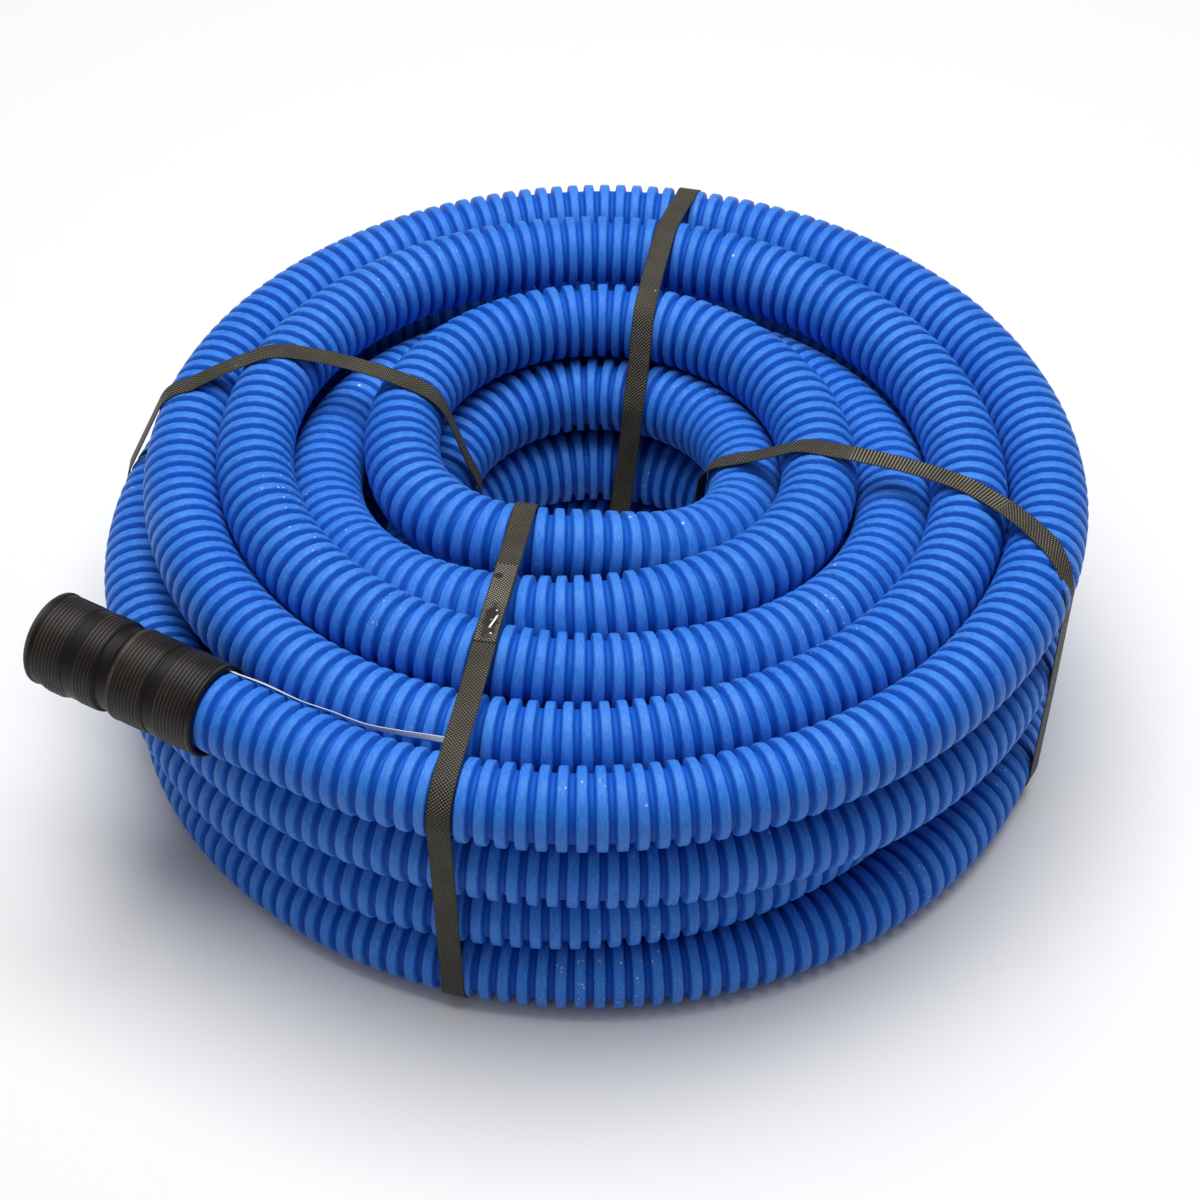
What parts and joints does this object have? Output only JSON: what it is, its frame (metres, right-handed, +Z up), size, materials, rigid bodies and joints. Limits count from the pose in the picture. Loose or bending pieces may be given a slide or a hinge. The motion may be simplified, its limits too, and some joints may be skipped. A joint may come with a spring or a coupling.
{
  "type": "coiled corrugated hose",
  "caption": "Coil of flexible double-wall corrugated hose held by flat straps, with a push-on coupler on its outer end and a draw tape inside.",
  "frame": {"origin": "on the coil's upright axis, at the level of the floor that the coil lies on", "axes": "+Z up along the coil's axis, +X to the right and +Y to the back as the coil is seen with its coupler at the front left"},
  "size_m": [0.6608, 0.6379, 0.2222],
  "materials": {
    "hose": "slightly glossy blue polyethylene",
    "coupler": "satin black moulded plastic",
    "draw_tape": "smooth greyish white plastic tape",
    "strap": "dark grey embossed strapping"
  },
  "bodies": {
    "coil": {"hose_coil": "hose", "hose_free_end": "hose", "hose_cut_end": "hose", "draw_tape": "draw_tape", "strap_front": "strap", "strap_right": "strap", "strap_back": "strap", "strap_left": "strap"},
    "coupler": {"coupler": "coupler"}
  },
  "joints": [
    {"name": "coupler_pull", "type": "slide", "parent": "coil", "child": "coupler", "axis": [-0.8547, 0.5191, 0], "range_m": [0, 0.0575]}
  ]
}
